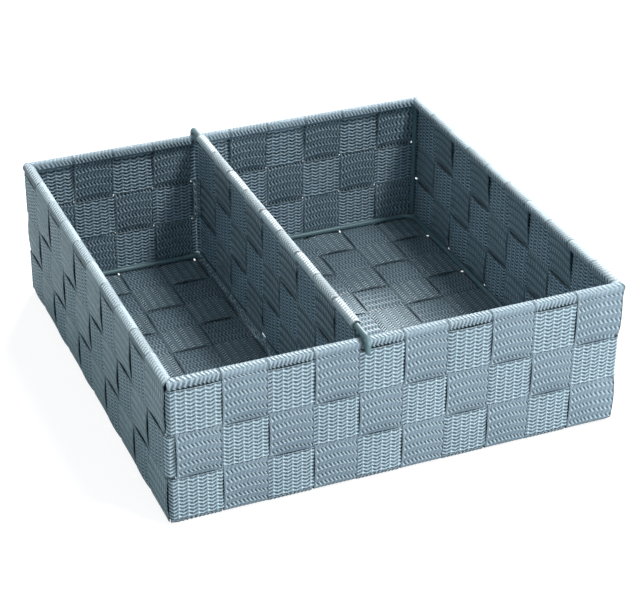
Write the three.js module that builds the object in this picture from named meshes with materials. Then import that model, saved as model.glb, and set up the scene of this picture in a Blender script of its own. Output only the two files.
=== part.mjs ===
// Open storage bin woven from flat webbing on a wire frame, with one woven divider that slides on the rims.
// Millimetres, +Z up. The origin is the middle of the underside, the front faces -Y, +X is to the right.
import * as THREE from "three";

// Webbing: the straps that run under the floor, and the bands that go round the walls
const webbingThickness = 1.1;
const clearance = 0.3;
const strapsPerSide = 10;
const strapWidth = 29;
const bandRows = 3;
const bandWidth = 30.2;
const crossingRoom = 0.7;
const turnInset = 0.15;

// Wire frame: rim, floor ring and corner posts, all from one size of coated wire
const wireRadius = 2;
const wireSides = 8;
const bandLift = 0.4;
const wrapRise = 5.2;
const tailOpening = THREE.MathUtils.degToRad(25);

// Divider: its place along X, its gaps to the basket, and the hooks over the two rims
const dividerX = -27;
const dividerStraps = 9;
const dividerEndGap = 1.6;
const dividerFloorGap = 2.8;
const hookBendRadius = 4;
const hookDrop = 7.1;
const frameBendRadius = 6;

// Steps in a quarter bend of a strap, in a quarter bend of a wire, and in a wrap round a wire
const strapBendSteps = 3;
const wireBendSteps = 4;
const wrapSteps = 7;

// The two layers of the weave lie either side of a middle plane
const layerOffset = (webbingThickness + clearance) / 2;
const weaveHalf = layerOffset + webbingThickness / 2;
const webbingGap = webbingThickness + crossingRoom;
const strapPitch = strapWidth + webbingGap;
const bandPitch = bandWidth + webbingGap;
const wrapRadius = wireRadius + clearance + webbingThickness / 2;
const rollRadius = wrapRadius + webbingThickness / 2;

// Half widths, from the middle of the basket outwards
const fieldHalf = ((strapsPerSide - 1) * strapPitch + strapWidth) / 2;
const postHalf = fieldHalf + wireRadius + clearance;
const wallHalf = postHalf + wireRadius + clearance + weaveHalf;
const rimHalf = fieldHalf + rollRadius + clearance;

// Heights
const floorMiddle = weaveHalf;
const ringHeight = 2 * weaveHalf + clearance + wireRadius;
const lowestBandEdge = ringHeight + bandLift;
const highestBandEdge = lowestBandEdge + (bandRows - 1) * bandPitch + bandWidth;
const rimHeight = highestBandEdge + wrapRise;
const binHeight = rimHeight + rollRadius;

// Divider sizes that follow from the basket
const dividerTopHeight = binHeight + clearance + wireRadius;
const dividerBottomHeight = 2 * weaveHalf + dividerFloorGap + rollRadius;
const dividerSideHalf = rimHalf - rollRadius - dividerEndGap - rollRadius;
const dividerFieldHalf = dividerSideHalf - wrapRise;
const dividerPitch = (2 * dividerFieldHalf - strapWidth) / (dividerStraps - 1);
const dividerBandSpace = dividerTopHeight - dividerBottomHeight - 2 * wrapRise;
const dividerBandWidth = (dividerBandSpace - (bandRows - 1) * webbingGap) / bandRows;
const hookHalf = rimHalf + rollRadius + clearance + wireRadius;

const strapColour = 0x8296a2;
const bandColour = 0x8ea3ae;
const dividerColour = 0x74868f;
const wireColour = 0x6d8f91;

const X_AXIS = new THREE.Vector3(1, 0, 0);
const Y_AXIS = new THREE.Vector3(0, 1, 0);
const Z_AXIS = new THREE.Vector3(0, 0, 1);

const storageBin = new THREE.Group();

const isOdd = (count) => count % 2 === 1;
const wrapped = (list, place) => list[(place + list.length) % list.length];

function webbingMaterial(color) {
  return new THREE.MeshStandardMaterial({ color, roughness: 0.85, metalness: 0 });
}

function wireMaterial() {
  return new THREE.MeshStandardMaterial({ color: wireColour, roughness: 0.4, metalness: 0.1 });
}

function addPiece(name, geometry, material, turn, position) {
  const mesh = new THREE.Mesh(geometry, material);
  mesh.name = name;
  mesh.quaternion.setFromRotationMatrix(turn);
  mesh.position.copy(position);
  storageBin.add(mesh);
}

// Turns for a profile drawn in its own XY plane and extruded along its own Z
const profileAlongY = new THREE.Matrix4().makeBasis(Y_AXIS, Z_AXIS, X_AXIS);
const profileAlongX = new THREE.Matrix4().makeBasis(X_AXIS, Z_AXIS, Y_AXIS.clone().negate());
const profileFlat = new THREE.Matrix4();

// Height of the middle of band row 1 (top) to bandRows (bottom) on the walls
function bandHeight(row) {
  return lowestBandEdge + bandWidth / 2 + (bandRows - row) * bandPitch;
}

// Place of strap 1 to strapsPerSide, counted from the negative side
function strapPlace(count) {
  return (count - (strapsPerSide + 1) / 2) * strapPitch;
}

// Points of an arc about a centre, from one angle to another
function arcPoints(centre, radiusStart, radiusEnd, angleStart, angleEnd, steps) {
  const points = [];
  for (let step = 0; step <= steps; step += 1) {
    const share = step / steps;
    const radius = THREE.MathUtils.lerp(radiusStart, radiusEnd, share);
    const angle = THREE.MathUtils.lerp(angleStart, angleEnd, share);
    points.push(new THREE.Vector2(Math.cos(angle), Math.sin(angle)).multiplyScalar(radius).add(centre));
  }
  return points;
}

// The end of a strap that is wrapped round a wire, from the tucked tail to where it leaves for `next`.
// `towards` is the direction from the wire to the woven panel, and `side` is +1 or -1, the side it leaves on.
function wrapPoints(centre, next, towards, side) {
  const toNext = next.clone().sub(centre);
  const tangent = Math.acos(wrapRadius / toNext.length());
  const lean = Math.atan2(toNext.y, toNext.x) - towards;
  const leanWrapped = Math.atan2(Math.sin(lean), Math.cos(lean));
  const leave = towards + leanWrapped + side * tangent;
  const tail = towards + side * (2 * Math.PI - tailOpening);
  return arcPoints(centre, wrapRadius, wrapRadius, tail, leave, wrapSteps);
}

// Offset of a centreline to one side, with mitred corners
function offsetPath(path, distance, closed) {
  return path.map((point, place) => {
    const before = closed || place > 0 ? wrapped(path, place - 1) : null;
    const after = closed || place < path.length - 1 ? wrapped(path, place + 1) : null;
    const normalBefore = before && leftNormal(before, point);
    const normalAfter = after && leftNormal(point, after);
    const normal = (normalBefore ?? normalAfter).clone().add(normalAfter ?? normalBefore).normalize();
    const stretch = normal.dot(normalBefore ?? normalAfter);
    return point.clone().addScaledVector(normal, distance / stretch);
  });
}

function leftNormal(from, to) {
  const along = to.clone().sub(from).normalize();
  return new THREE.Vector2(-along.y, along.x);
}

// Webbing of one width that follows an open centreline
function webbingGeometry(path, width) {
  const oneSide = offsetPath(path, webbingThickness / 2, false);
  const otherSide = offsetPath(path, -webbingThickness / 2, false).reverse();
  return extruded(new THREE.Shape([...oneSide, ...otherSide]), width);
}

// Webbing of one width that follows a closed centreline
function webbingLoopGeometry(path, width) {
  const shape = new THREE.Shape(offsetPath(path, -webbingThickness / 2, true));
  shape.holes.push(new THREE.Path(offsetPath(path, webbingThickness / 2, true)));
  return extruded(shape, width);
}

function extruded(shape, width) {
  const geometry = new THREE.ExtrudeGeometry(shape, { depth: width, bevelEnabled: false });
  return geometry.translate(0, 0, -width / 2);
}

// Two points where webbing passes one crossing piece, kept just outside that piece's edges
function crossingPoints(place, width, along, side, layer) {
  const reach = width / 2 + turnInset;
  const point = (shift) => along.clone().multiplyScalar(place + shift).addScaledVector(side, layer);
  return [point(-reach), point(reach)];
}

// Half of a U-shaped strap's profile on one wall, from the tucked tail down to the floor.
// The wall is on the positive side of the profile. isOutside(row) says where the strap passes each band.
function wallProfile(isOutside, isOnTop) {
  const points = [];
  for (let row = 1; row <= bandRows; row += 1) {
    const outward = wallHalf + (isOutside(row) ? layerOffset : -layerOffset);
    const reach = bandWidth / 2 + turnInset;
    points.push(new THREE.Vector2(outward, bandHeight(row) + reach));
    points.push(new THREE.Vector2(outward, bandHeight(row) - reach));
  }
  const rim = new THREE.Vector2(rimHalf, rimHeight);
  const wrap = wrapPoints(rim, points[0], -Math.PI / 2, isOutside(1) ? 1 : -1);
  const ring = new THREE.Vector2(postHalf, ringHeight);
  const wallSide = points.at(-1).x - ring.x;
  const floorSide = ring.y - floorMiddle + (isOnTop ? -layerOffset : layerOffset);
  const bend = arcPoints(ring, wallSide, floorSide, 0, -Math.PI / 2, strapBendSteps);
  return [...wrap, ...points, ...bend];
}

// Whole profile of a strap: down one wall, across the floor and up the other wall
function strapProfile(negativeOutside, positiveOutside, isOnTop) {
  const mirror = (point) => new THREE.Vector2(-point.x, point.y);
  const negativeWall = wallProfile(negativeOutside, isOnTop(1)).map(mirror);
  const positiveWall = wallProfile(positiveOutside, isOnTop(strapsPerSide)).reverse();
  const floor = [];
  for (let count = 1; count <= strapsPerSide; count += 1) {
    const layer = isOnTop(count) ? layerOffset : -layerOffset;
    const base = new THREE.Vector2(0, floorMiddle);
    const along = new THREE.Vector2(1, 0);
    const up = new THREE.Vector2(0, 1);
    floor.push(...crossingPoints(strapPlace(count), strapWidth, along, up, layer).map((point) => point.add(base)));
  }
  return [...negativeWall, ...floor, ...positiveWall];
}

// Straps that run front to back, counted from the left
function addFrontToBackStraps() {
  for (let column = 1; column <= strapsPerSide; column += 1) {
    const profile = strapProfile(
      (row) => isOdd(column + row),
      (row) => !isOdd(column + row),
      (fromFront) => isOdd(column + fromFront),
    );
    const name = `strap_front_back_${String(column).padStart(2, "0")}`;
    const geometry = webbingGeometry(profile, strapWidth);
    const position = new THREE.Vector3(strapPlace(column), 0, 0);
    addPiece(name, geometry, webbingMaterial(strapColour), profileAlongY, position);
  }
}

// Straps that run left to right, counted from the front
function addLeftToRightStraps() {
  for (let column = 1; column <= strapsPerSide; column += 1) {
    const profile = strapProfile(
      (row) => !isOdd(column + row),
      (row) => isOdd(column + row),
      (fromLeft) => !isOdd(column + fromLeft),
    );
    const name = `strap_left_right_${String(column).padStart(2, "0")}`;
    const geometry = webbingGeometry(profile, strapWidth);
    const position = new THREE.Vector3(0, strapPlace(column), 0);
    addPiece(name, geometry, webbingMaterial(strapColour), profileAlongX, position);
  }
}

// Closed path of one band in plan: four walls, with a bend round each corner post
function bandPath(row) {
  const points = [];
  for (let wall = 0; wall < 4; wall += 1) {
    const turn = (wall * Math.PI) / 2;
    const along = new THREE.Vector2(Math.cos(turn), Math.sin(turn));
    const outward = new THREE.Vector2(along.y, -along.x);
    for (let column = 1; column <= strapsPerSide; column += 1) {
      const crossing = wall * strapsPerSide + column;
      const layer = isOdd(crossing + row) ? -layerOffset : layerOffset;
      points.push(...crossingPoints(strapPlace(column), strapWidth, along, outward, wallHalf + layer));
    }
    const post = along.clone().add(outward).multiplyScalar(postHalf);
    const bendRadius = wallHalf - postHalf;
    points.push(...arcPoints(post, bendRadius, bendRadius, turn - Math.PI / 2, turn, wireBendSteps));
  }
  return points;
}

function addBands() {
  const names = ["wall_band_top", "wall_band_middle", "wall_band_bottom"];
  for (let row = 1; row <= bandRows; row += 1) {
    const name = names[row - 1] ?? `wall_band_${row}`;
    const geometry = webbingLoopGeometry(bandPath(row), bandWidth);
    const position = new THREE.Vector3(0, 0, bandHeight(row));
    addPiece(name, geometry, webbingMaterial(bandColour), profileFlat, position);
  }
}

// Round wire along a path in its own XY plane, with mitred sections, as a ring or with two flat ends
function wireGeometry(path, closed) {
  const inner = offsetPath(path, 1, closed);
  const positions = [];
  path.forEach((point, place) => {
    const sideways = inner[place].clone().sub(point);
    for (let side = 0; side < wireSides; side += 1) {
      const angle = ((side + 0.5) / wireSides) * 2 * Math.PI;
      const reach = wireRadius * Math.cos(angle);
      positions.push(point.x + sideways.x * reach, point.y + sideways.y * reach, wireRadius * Math.sin(angle));
    }
  });
  const corner = (ring, side) => (ring % path.length) * wireSides + (side % wireSides);
  const indices = [];
  const spans = closed ? path.length : path.length - 1;
  for (let ring = 0; ring < spans; ring += 1) {
    for (let side = 0; side < wireSides; side += 1) {
      const [a, b] = [corner(ring, side), corner(ring, side + 1)];
      const [c, d] = [corner(ring + 1, side), corner(ring + 1, side + 1)];
      indices.push(a, b, c, b, d, c);
    }
  }
  for (let side = 1; !closed && side < wireSides - 1; side += 1) {
    const last = path.length - 1;
    indices.push(corner(0, 0), corner(0, side + 1), corner(0, side));
    indices.push(corner(last, 0), corner(last, side), corner(last, side + 1));
  }
  const geometry = new THREE.BufferGeometry();
  geometry.setAttribute("position", new THREE.Float32BufferAttribute(positions, 3));
  geometry.setIndex(indices);
  geometry.computeVertexNormals();
  return geometry;
}

// Square ring in plan with rounded corners
function ringPath(half, cornerRadius) {
  const points = [];
  for (let corner = 0; corner < 4; corner += 1) {
    const turn = (corner * Math.PI) / 2;
    const inset = (half - cornerRadius) * Math.SQRT2;
    const centre = new THREE.Vector2(Math.cos(turn - Math.PI / 4), Math.sin(turn - Math.PI / 4));
    centre.multiplyScalar(inset);
    points.push(...arcPoints(centre, cornerRadius, cornerRadius, turn - Math.PI / 2, turn, wireBendSteps));
  }
  return points;
}

// The rim wire, the floor ring inside the straps, and the posts that stand in the ring's rounded corners
function addBasketWires() {
  const rimCorner = rimHalf - fieldHalf;
  const rimPosition = new THREE.Vector3(0, 0, rimHeight);
  addPiece("rim_wire", wireGeometry(ringPath(rimHalf, rimCorner), true), wireMaterial(), profileFlat, rimPosition);

  const postToRing = 2 * wireRadius + clearance;
  const ringCorner = postToRing / (Math.SQRT2 - 1);
  const ringPosition = new THREE.Vector3(0, 0, ringHeight);
  const ring = wireGeometry(ringPath(postHalf, ringCorner), true);
  addPiece("floor_ring_wire", ring, wireMaterial(), profileFlat, ringPosition);

  const postTop = rimHeight - wireRadius - clearance;
  const postFoot = ringHeight - wireRadius;
  const corners = { front_left: [-1, -1], front_right: [1, -1], back_right: [1, 1], back_left: [-1, 1] };
  for (const [corner, [sideX, sideY]] of Object.entries(corners)) {
    const post = new THREE.CylinderGeometry(wireRadius, wireRadius, postTop - postFoot, wireSides);
    const position = new THREE.Vector3(sideX * postHalf, sideY * postHalf, (postTop + postFoot) / 2);
    addPiece(`corner_post_${corner}`, post, wireMaterial(), profileAlongX, position);
  }
}

// Corner of a wire path, from one direction to the next, as an arc about a centre
function wireBend(centreX, centreY, radius, angleStart, angleEnd) {
  const centre = new THREE.Vector2(centreX, centreY);
  return arcPoints(centre, radius, radius, angleStart, angleEnd, wireBendSteps);
}

// The top wire lies on both rims and turns down outside them. The lower wire is a U under it.
// Both are drawn with X along the basket's Y and Y upwards.
function addDividerWires() {
  const tip = binHeight - rollRadius - hookDrop;
  const shoulder = hookHalf - hookBendRadius;
  const shoulderHeight = dividerTopHeight - hookBendRadius;
  const topPath = [
    new THREE.Vector2(-hookHalf, tip),
    ...wireBend(-shoulder, shoulderHeight, hookBendRadius, Math.PI, Math.PI / 2),
    ...wireBend(shoulder, shoulderHeight, hookBendRadius, Math.PI / 2, 0),
    new THREE.Vector2(hookHalf, tip),
  ];
  const position = new THREE.Vector3(dividerX, 0, 0);
  addPiece("divider_top_wire", wireGeometry(topPath, false), wireMaterial(), profileAlongY, position);

  const sideTop = dividerTopHeight - wireRadius - clearance;
  const foot = dividerSideHalf - frameBendRadius;
  const footHeight = dividerBottomHeight + frameBendRadius;
  const lowerPath = [
    new THREE.Vector2(-dividerSideHalf, sideTop),
    ...wireBend(-foot, footHeight, frameBendRadius, Math.PI, 1.5 * Math.PI),
    ...wireBend(foot, footHeight, frameBendRadius, 1.5 * Math.PI, 2 * Math.PI),
    new THREE.Vector2(dividerSideHalf, sideTop),
  ];
  addPiece("divider_lower_wire", wireGeometry(lowerPath, false), wireMaterial(), profileAlongY, position);
}

// Height of the middle of divider band row 1 (top) to bandRows (bottom)
function dividerBandHeight(row) {
  const fromTop = dividerBandWidth / 2 + (row - 1) * (dividerBandWidth + webbingGap);
  return dividerTopHeight - wrapRise - fromTop;
}

// Upright straps of the divider, counted from the back, wrapped round its top and lower wires
function addDividerStraps() {
  const up = new THREE.Vector2(0, 1);
  const right = new THREE.Vector2(1, 0);
  for (let column = 1; column <= dividerStraps; column += 1) {
    const onRight = (row) => !isOdd(column + row);
    const panel = [];
    for (let row = bandRows; row >= 1; row -= 1) {
      const layer = onRight(row) ? layerOffset : -layerOffset;
      panel.push(...crossingPoints(dividerBandHeight(row), dividerBandWidth, up, right, layer));
    }
    const bottom = new THREE.Vector2(0, dividerBottomHeight);
    const top = new THREE.Vector2(0, dividerTopHeight);
    const bottomWrap = wrapPoints(bottom, panel[0], Math.PI / 2, onRight(bandRows) ? -1 : 1);
    const topWrap = wrapPoints(top, panel.at(-1), -Math.PI / 2, onRight(1) ? 1 : -1).reverse();
    const geometry = webbingGeometry([...bottomWrap, ...panel, ...topWrap], strapWidth);
    const place = dividerFieldHalf - strapWidth / 2 - (column - 1) * dividerPitch;
    const position = new THREE.Vector3(dividerX, place, 0);
    addPiece(`divider_strap_${column}`, geometry, webbingMaterial(dividerColour), profileAlongX, position);
  }
}

// Bands of the divider, wrapped round its two side wires
function addDividerBands() {
  const names = ["divider_band_top", "divider_band_middle", "divider_band_bottom"];
  const along = new THREE.Vector2(0, 1);
  const right = new THREE.Vector2(1, 0);
  for (let row = 1; row <= bandRows; row += 1) {
    const panel = [];
    for (let column = dividerStraps; column >= 1; column -= 1) {
      const layer = isOdd(column + row) ? layerOffset : -layerOffset;
      const place = dividerFieldHalf - strapWidth / 2 - (column - 1) * dividerPitch;
      panel.push(...crossingPoints(place, strapWidth, along, right, layer));
    }
    const front = new THREE.Vector2(0, -dividerSideHalf);
    const back = new THREE.Vector2(0, dividerSideHalf);
    const frontWrap = wrapPoints(front, panel[0], Math.PI / 2, panel[0].x > 0 ? -1 : 1);
    const backWrap = wrapPoints(back, panel.at(-1), -Math.PI / 2, panel.at(-1).x > 0 ? 1 : -1).reverse();
    const geometry = webbingGeometry([...frontWrap, ...panel, ...backWrap], dividerBandWidth);
    const position = new THREE.Vector3(dividerX, 0, dividerBandHeight(row));
    const name = names[row - 1] ?? `divider_band_${row}`;
    addPiece(name, geometry, webbingMaterial(dividerColour), profileFlat, position);
  }
}

addFrontToBackStraps();
addLeftToRightStraps();
addBands();
addBasketWires();
addDividerWires();
addDividerStraps();
addDividerBands();

export default storageBin;
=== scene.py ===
# %% [markdown]
# A storage bin woven from flat webbing on a wire frame.
#
# The bin has two families of straps that run under the floor and up opposite walls, three bands that go
# round the walls, and a woven divider that hangs on the two rims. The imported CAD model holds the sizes
# and the motion. This lesson gives the webbing its herringbone ridges, its soft bulge at each crossing
# and its rolled rim.

import math

import bpy
from mathutils import Matrix, Vector


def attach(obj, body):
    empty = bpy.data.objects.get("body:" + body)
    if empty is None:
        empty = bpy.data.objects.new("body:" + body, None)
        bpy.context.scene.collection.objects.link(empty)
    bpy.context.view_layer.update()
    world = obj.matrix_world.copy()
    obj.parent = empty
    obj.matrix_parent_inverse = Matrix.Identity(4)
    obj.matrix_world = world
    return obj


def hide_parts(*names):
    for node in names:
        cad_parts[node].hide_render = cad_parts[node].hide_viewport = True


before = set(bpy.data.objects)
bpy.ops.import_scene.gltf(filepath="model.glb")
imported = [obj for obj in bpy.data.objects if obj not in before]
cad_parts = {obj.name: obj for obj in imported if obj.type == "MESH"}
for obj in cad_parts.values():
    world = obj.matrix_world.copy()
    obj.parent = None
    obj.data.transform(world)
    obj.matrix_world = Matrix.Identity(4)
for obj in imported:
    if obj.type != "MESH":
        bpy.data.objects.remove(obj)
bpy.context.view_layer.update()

# %% [markdown]
# The camera looks down at the bin from the front left, with a long lens. Its place was found by matching
# the outline of the bin in the picture with the outline of a box of the real size, so all values are in
# metres and degrees. A camera matrix has the right, up and backward directions as its columns.

# %% Camera at the picture's viewing angle
CAMERA_PLACE = Vector((-0.4555, -1.0911, 0.7416))
CAMERA_AZIMUTH = math.radians(23.083)
CAMERA_DOWN = math.radians(30.664)
CAMERA_ROLL = math.radians(0.607)
CAMERA_LENS = 108.89
CAMERA_SENSOR = 36
BIN_MIDDLE = Vector((0, 0, 0.05))

forward = Vector((
    math.sin(CAMERA_AZIMUTH) * math.cos(CAMERA_DOWN),
    math.cos(CAMERA_AZIMUTH) * math.cos(CAMERA_DOWN),
    -math.sin(CAMERA_DOWN),
))
level_right = Vector((math.cos(CAMERA_AZIMUTH), -math.sin(CAMERA_AZIMUTH), 0))
level_up = level_right.cross(forward)
right = math.cos(CAMERA_ROLL) * level_right + math.sin(CAMERA_ROLL) * level_up
up = math.cos(CAMERA_ROLL) * level_up - math.sin(CAMERA_ROLL) * level_right
turn = Matrix((right, up, -forward)).transposed().to_4x4()

camera_data = bpy.data.cameras.new("camera")
camera_data.lens = CAMERA_LENS
camera_data.sensor_width = CAMERA_SENSOR
camera = bpy.data.objects.new("camera", camera_data)
camera.matrix_world = Matrix.Translation(CAMERA_PLACE) @ turn
bpy.context.scene.collection.objects.link(camera)
bpy.context.scene.camera = camera
bpy.context.scene.view_settings.view_transform = "Standard"
print("camera", round((CAMERA_PLACE - BIN_MIDDLE).length, 3), "m from the bin")

# %% [markdown]
# Node trees are easier to read as sums. One small class wraps an output socket, so that `a * 2 + b` adds
# the Math nodes it needs. Python calls `__add__` for `a + b`, and `__radd__` for `2 + a`.

# %% Sockets that can be added and multiplied


class Socket:
    """An output of a node, which can be used in a sum like a number."""

    def __init__(self, tree, output):
        self.tree = tree
        self.output = output

    def math(self, operation, *values):
        return self.tree.add("ShaderNodeMath", {"operation": operation}, dict(enumerate(values)))[0]

    def __add__(self, other):
        return self.math("ADD", self, other)

    def __radd__(self, other):
        return self.math("ADD", other, self)

    def __sub__(self, other):
        return self.math("SUBTRACT", self, other)

    def __rsub__(self, other):
        return self.math("SUBTRACT", other, self)

    def __mul__(self, other):
        return self.math("MULTIPLY", self, other)

    def __rmul__(self, other):
        return self.math("MULTIPLY", other, self)

    def __truediv__(self, other):
        return self.math("DIVIDE", self, other)

    def __mod__(self, other):
        return self.math("FLOORED_MODULO", self, other)

    def __pow__(self, other):
        return self.math("POWER", self, other)

    def __abs__(self):
        return self.math("ABSOLUTE", self)

    def at_most(self, other):
        return self.math("MINIMUM", self, other)

    def at_least(self, other):
        return self.math("MAXIMUM", self, other)

    def below(self, other):
        return self.math("LESS_THAN", self, other)

    def cosine(self):
        return self.math("COSINE", self)

    def whole(self):
        return self.math("FLOOR", self)

    def ping_pong(self, other):
        return self.math("PINGPONG", self, other)

    def rise(self, low, high):
        """A smooth step from 0 at low to 1 at high."""
        sockets = {"Value": self, "From Min": low, "From Max": high}
        return self.tree.add("ShaderNodeMapRange", {"interpolation_type": "SMOOTHSTEP"}, sockets)[0]


print("sockets can be used in sums")

# %% [markdown]
# Every node comes from one method, `add`. It first sets the node's settings, because these decide which
# sockets are enabled, and then fills the sockets with numbers or links.

# %% Trees and nodes


class Node:
    """A node whose outputs are found by name or by place."""

    def __init__(self, tree, node):
        self.tree = tree
        self.node = node

    def __getitem__(self, key):
        outputs = [socket for socket in self.node.outputs if socket.enabled]
        if isinstance(key, int):
            return Socket(self.tree, outputs[key])
        return Socket(self.tree, next(socket for socket in outputs if socket.name == key))


class Tree:
    """A shader tree or a geometry tree."""

    def __init__(self, blender_tree):
        self.blender_tree = blender_tree

    def add(self, kind, settings=None, sockets=None):
        node = self.blender_tree.nodes.new(kind)
        for name, value in (settings or {}).items():
            setattr(node, name, value)
        inputs = [socket for socket in node.inputs if socket.enabled]
        for key, value in (sockets or {}).items():
            socket = inputs[key] if isinstance(key, int) else next(s for s in inputs if s.name == key)
            if isinstance(value, Socket):
                self.blender_tree.links.new(value.output, socket)
            else:
                socket.default_value = value
        return Node(self, node)


def vector_math(tree, operation, *values):
    return tree.add("ShaderNodeVectorMath", {"operation": operation}, dict(enumerate(values)))[0]


def scaled(tree, vector, amount):
    return tree.add("ShaderNodeVectorMath", {"operation": "SCALE"}, {"Vector": vector, "Scale": amount})[0]


def combined(tree, x, y, z):
    return tree.add("ShaderNodeCombineXYZ", None, {"X": x, "Y": y, "Z": z})[0]


def separated(tree, vector):
    node = tree.add("ShaderNodeSeparateXYZ", None, {"Vector": vector})
    return node["X"], node["Y"], node["Z"]


print("node helpers are ready")

# %% [markdown]
# Geometry trees need a few helpers of their own. Named attributes carry what is known on the path over to
# the swept surface, where each point can read it again.

# %% Helpers for geometry trees
MM = 0.001
CURVE_RESOLUTION = 12


def new_geometry_tree(name, sockets):
    """A geometry tree with named inputs, and the identifier of each input."""
    blender_tree = bpy.data.node_groups.new(name, "GeometryNodeTree")
    blender_tree.interface.new_socket("Geometry", in_out="INPUT", socket_type="NodeSocketGeometry")
    blender_tree.interface.new_socket("Geometry", in_out="OUTPUT", socket_type="NodeSocketGeometry")
    identifiers = {}
    for label, kind in sockets.items():
        socket = blender_tree.interface.new_socket(label, in_out="INPUT", socket_type=f"NodeSocket{kind}")
        identifiers[label] = socket.identifier
    return Tree(blender_tree), identifiers


def smooth_path(tree, path, step):
    """Turns the loose edges of a path into a smooth curve, cut into steps of one length."""
    curve = tree.add("GeometryNodeMeshToCurve", None, {"Mesh": path})[0]
    curve = tree.add("GeometryNodeCurveSplineType", {"spline_type": "CATMULL_ROM"}, {"Curve": curve})[0]
    sockets = {"Geometry": curve, "Resolution": CURVE_RESOLUTION}
    curve = tree.add("GeometryNodeSetSplineResolution", None, sockets)[0]
    return tree.add("GeometryNodeResampleCurve", {"mode": "LENGTH"}, {"Curve": curve, "Length": step})[0]


def store(tree, geometry, name, kind, domain, value):
    settings = {"data_type": kind, "domain": domain}
    sockets = {"Geometry": geometry, "Name": name, "Value": value}
    return tree.add("GeometryNodeStoreNamedAttribute", settings, sockets)[0]


def stored(tree, name, kind):
    return tree.add("GeometryNodeInputNamedAttribute", {"data_type": kind}, {"Name": name})["Attribute"]


def finish_tree(tree, geometry, material):
    """The last nodes of a tree: one real mesh, with its material."""
    geometry = tree.add("GeometryNodeRealizeInstances", None, {"Geometry": geometry})[0]
    sockets = {"Geometry": geometry, "Material": material}
    geometry = tree.add("GeometryNodeSetMaterial", None, sockets)[0]
    tree.add("NodeGroupOutput", None, {"Geometry": geometry})


print("geometry helpers are ready")

# %% [markdown]
# Webbing is woven on a narrow loom, with a herringbone that shows as ridges in a zigzag along its length.
# Every piece of webbing in the bin has this structure, so one tree makes them all: it sweeps a flat cut
# along a path. The cut has two points for each ridge, one on the ridge and one in the groove beside it,
# and a few more at each edge, where the webbing gets thinner. It is a circle of points, of which only the
# number is used: each point stores where it belongs in the cut, and how deep a groove it is in.

# %% The cut through the webbing
RIDGES = 11
EDGE_POINTS = 2
FACE_POINTS = 2 * RIDGES + 1 + 2 * EDGE_POINTS
SHOULDER_INSET = 0.25 * MM
EDGE_THICKNESS = 0.3
EDGE_THICKNESS_STEP = 0.5


def webbing_cut(tree, width, thickness, selvedge):
    """The flat cut: up one face and back along the other, with two points for each ridge."""
    index = tree.add("GeometryNodeInputIndex")[0]
    on_top = index.below(FACE_POINTS - 0.5)
    place = index % FACE_POINTS
    place = place * on_top + (FACE_POINTS - 1 - place) * (1 - on_top)
    from_edge = place.at_most(FACE_POINTS - 1 - place)
    is_inner = 1 - from_edge.below(EDGE_POINTS - 0.5)
    is_shoulder = from_edge.below(1.5) - from_edge.below(0.5)
    limit = width / 2 - is_shoulder * SHOULDER_INSET
    across = (place - (FACE_POINTS - 1) / 2) / RIDGES * (width / 2 - selvedge)
    across = across.at_most(limit).at_least(limit * -1)
    side = on_top * 2 - 1
    height = (EDGE_THICKNESS + EDGE_THICKNESS_STEP * from_edge).at_most(1) * thickness / 2 * side
    groove = (1 - place % 2) * is_inner * side
    sockets = {"Resolution": 2 * FACE_POINTS, "Radius": 1.0}
    circle = tree.add("GeometryNodeCurvePrimitiveCircle", {"mode": "RADIUS"}, sockets)[0]
    shape = combined(tree, across, height, groove)
    circle = store(tree, circle, "cut_shape", "FLOAT_VECTOR", "POINT", shape)
    return store(tree, circle, "cut_ridge", "FLOAT", "POINT", (place - EDGE_POINTS) / 2)


print("points in a cut:", 2 * FACE_POINTS)

# %% [markdown]
# The path knows things that a point of the surface can't see: whether it is in a rolled end, in the top
# row of the weave, on an upright stretch, or on a hump. A hump is found by comparing a point of the path
# with the middle of two others, before and after it. It is positive where the strap bulges outwards over
# a band.

# %% What the path knows
ZIGZAG_PERIOD = 6.4 * MM
STEPS_PER_ZIGZAG = 4
HUMP_REACH = 10
FULL_HUMP = 0.8 * MM
UPRIGHT_RANGE = (0.6, 0.95)
ROLL_ENDS = (15 * MM, 21 * MM)
TOP_ROW_ENDS = (44 * MM, 54 * MM)


def neighbours_middle(tree, value, reach):
    """The middle between a value's copies so many points before and after this one."""
    index = tree.add("GeometryNodeInputIndex")[0]
    settings = {"data_type": "FLOAT_VECTOR", "domain": "POINT"}
    before = tree.add("GeometryNodeFieldAtIndex", settings, {"Value": value, "Index": index - reach})[0]
    after = tree.add("GeometryNodeFieldAtIndex", settings, {"Value": value, "Index": index + reach})[0]
    return scaled(tree, vector_math(tree, "ADD", before, after), 0.5)


def measure_path(tree, path, side):
    """Stores on each point of the path what the swept surface has to know there."""
    middle = tree.add("GeometryNodeInputPosition")[0]
    along = tree.add("GeometryNodeInputTangent")[0]
    parameter = tree.add("GeometryNodeSplineParameter")
    length = tree.add("GeometryNodeSplineLength")["Length"]
    from_end = parameter["Length"].at_most(length - parameter["Length"])
    outward = vector_math(tree, "CROSS_PRODUCT", along, side)
    step_out = vector_math(tree, "SUBTRACT", middle, neighbours_middle(tree, middle, HUMP_REACH))
    hump = (vector_math(tree, "DOT_PRODUCT", outward, step_out) / FULL_HUMP).at_most(1).at_least(-1)
    upright = abs(separated(tree, along)[2]).rise(*UPRIGHT_RANGE)
    numbers = {
        "section": parameter["Index"],
        "upright": upright,
        "hump": hump * upright,
        "rolled": 1 - from_end.rise(*ROLL_ENDS),
        "top_row": 1 - from_end.rise(*TOP_ROW_ENDS),
    }
    for name, value in numbers.items():
        path = store(tree, path, f"path_{name}", "FLOAT", "POINT", value)
    for name, value in {"middle": middle, "along": along}.items():
        path = store(tree, path, f"path_{name}", "FLOAT_VECTOR", "POINT", value)
    return path


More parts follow.
